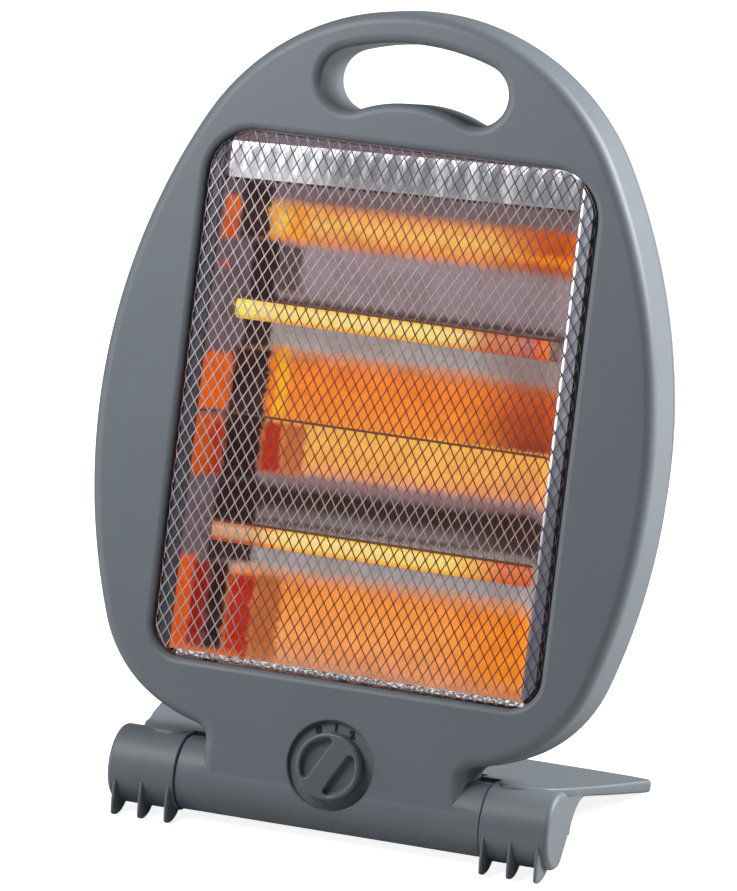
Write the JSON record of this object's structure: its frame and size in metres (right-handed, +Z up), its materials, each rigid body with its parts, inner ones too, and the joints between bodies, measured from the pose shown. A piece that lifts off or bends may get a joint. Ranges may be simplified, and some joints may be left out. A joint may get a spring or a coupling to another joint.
{
  "type": "halogen heater",
  "caption": "Free-standing quartz-tube heater: egg-shaped tilting body with carry handle, mesh guard, polished reflector and rotary switch, on a winged stand.",
  "frame": {"origin": "on the floor, under the middle of the whole heater's box", "axes": "+Z up; -Y towards the side that the guard and the knob face, +Y towards the back; +X to the right of somebody who faces the guard"},
  "size_m": [0.2844, 0.1755, 0.3801],
  "materials": {
    "shell_plastic": "satin blue-grey moulding, fine spark texture",
    "stand_plastic": "satin blue-grey moulding",
    "knob_plastic": "satin blue-grey moulding, polished edge",
    "guard_wire": "bright plated expanded mesh",
    "reflector_sheet": "polished sheet",
    "quartz": "clear fused quartz",
    "coil_wire": "resistance wire, glowing",
    "ceramic_caps": "unglazed steatite",
    "bracket_steel": "zinc-plated sheet",
    "pin_steel": "turned steel",
    "screw_steel": "dark zinc plating",
    "washer_rubber": "black rubber",
    "black_plastic": "black moulding",
    "white_plastic": "off-white moulding",
    "lead_sleeve": "white glass-fibre sleeving"
  },
  "bodies": {
    "stand": {"stand": "stand_plastic", "pivot_pin_left": "pin_steel", "pivot_pin_right": "pin_steel", "friction_washer_left": "washer_rubber", "friction_washer_right": "washer_rubber"},
    "heater": {"front_shell": "shell_plastic", "rear_shell": "shell_plastic", "barrel_bush_left": "black_plastic", "barrel_bush_right": "black_plastic", "guard_mesh": "guard_wire", "reflector": "reflector_sheet", "reflector_end_left": "reflector_sheet", "reflector_end_right": "reflector_sheet", "fluted_strip": "reflector_sheet", "quartz_tube_upper": "quartz", "quartz_tube_lower": "quartz", "heating_coil_upper": "coil_wire", "heating_coil_lower": "coil_wire", "tube_caps_upper": "ceramic_caps", "tube_caps_lower": "ceramic_caps", "tube_bracket_left": "bracket_steel", "tube_bracket_right": "bracket_steel", "switch_body": "black_plastic", "switch_nut": "bracket_steel", "thermal_cutout": "black_plastic", "terminal_block": "white_plastic", "tip_switch_case": "black_plastic", "tip_switch_pin": "pin_steel", "lead_upper": "lead_sleeve", "lead_lower": "lead_sleeve", "lead_link": "lead_sleeve", "cord_grommet": "washer_rubber", "shell_screws": "screw_steel", "reflector_screws": "screw_steel"},
    "knob": {"knob": "knob_plastic", "switch_spindle": "pin_steel"},
    "tip_pendulum": {"tip_pendulum": "pin_steel"}
  },
  "joints": [
    {"name": "tilt", "type": "hinge", "parent": "stand", "child": "heater", "pos_m": [0, -0.0641, 0.02], "axis": [1, 0, 0], "range_deg": [0, 20]},
    {"name": "knob_turn", "type": "hinge", "parent": "heater", "child": "knob", "pos_m": [0, -0.07502, 0.04106], "axis": [0, -0.9367, 0.3502], "range_deg": [0, 60]},
    {"name": "tip_swing", "type": "hinge", "parent": "heater", "child": "tip_pendulum", "pos_m": [0.0315, -0.0426, 0.05894], "axis": [1, 0, 0], "range_deg": [-55, 25]}
  ]
}
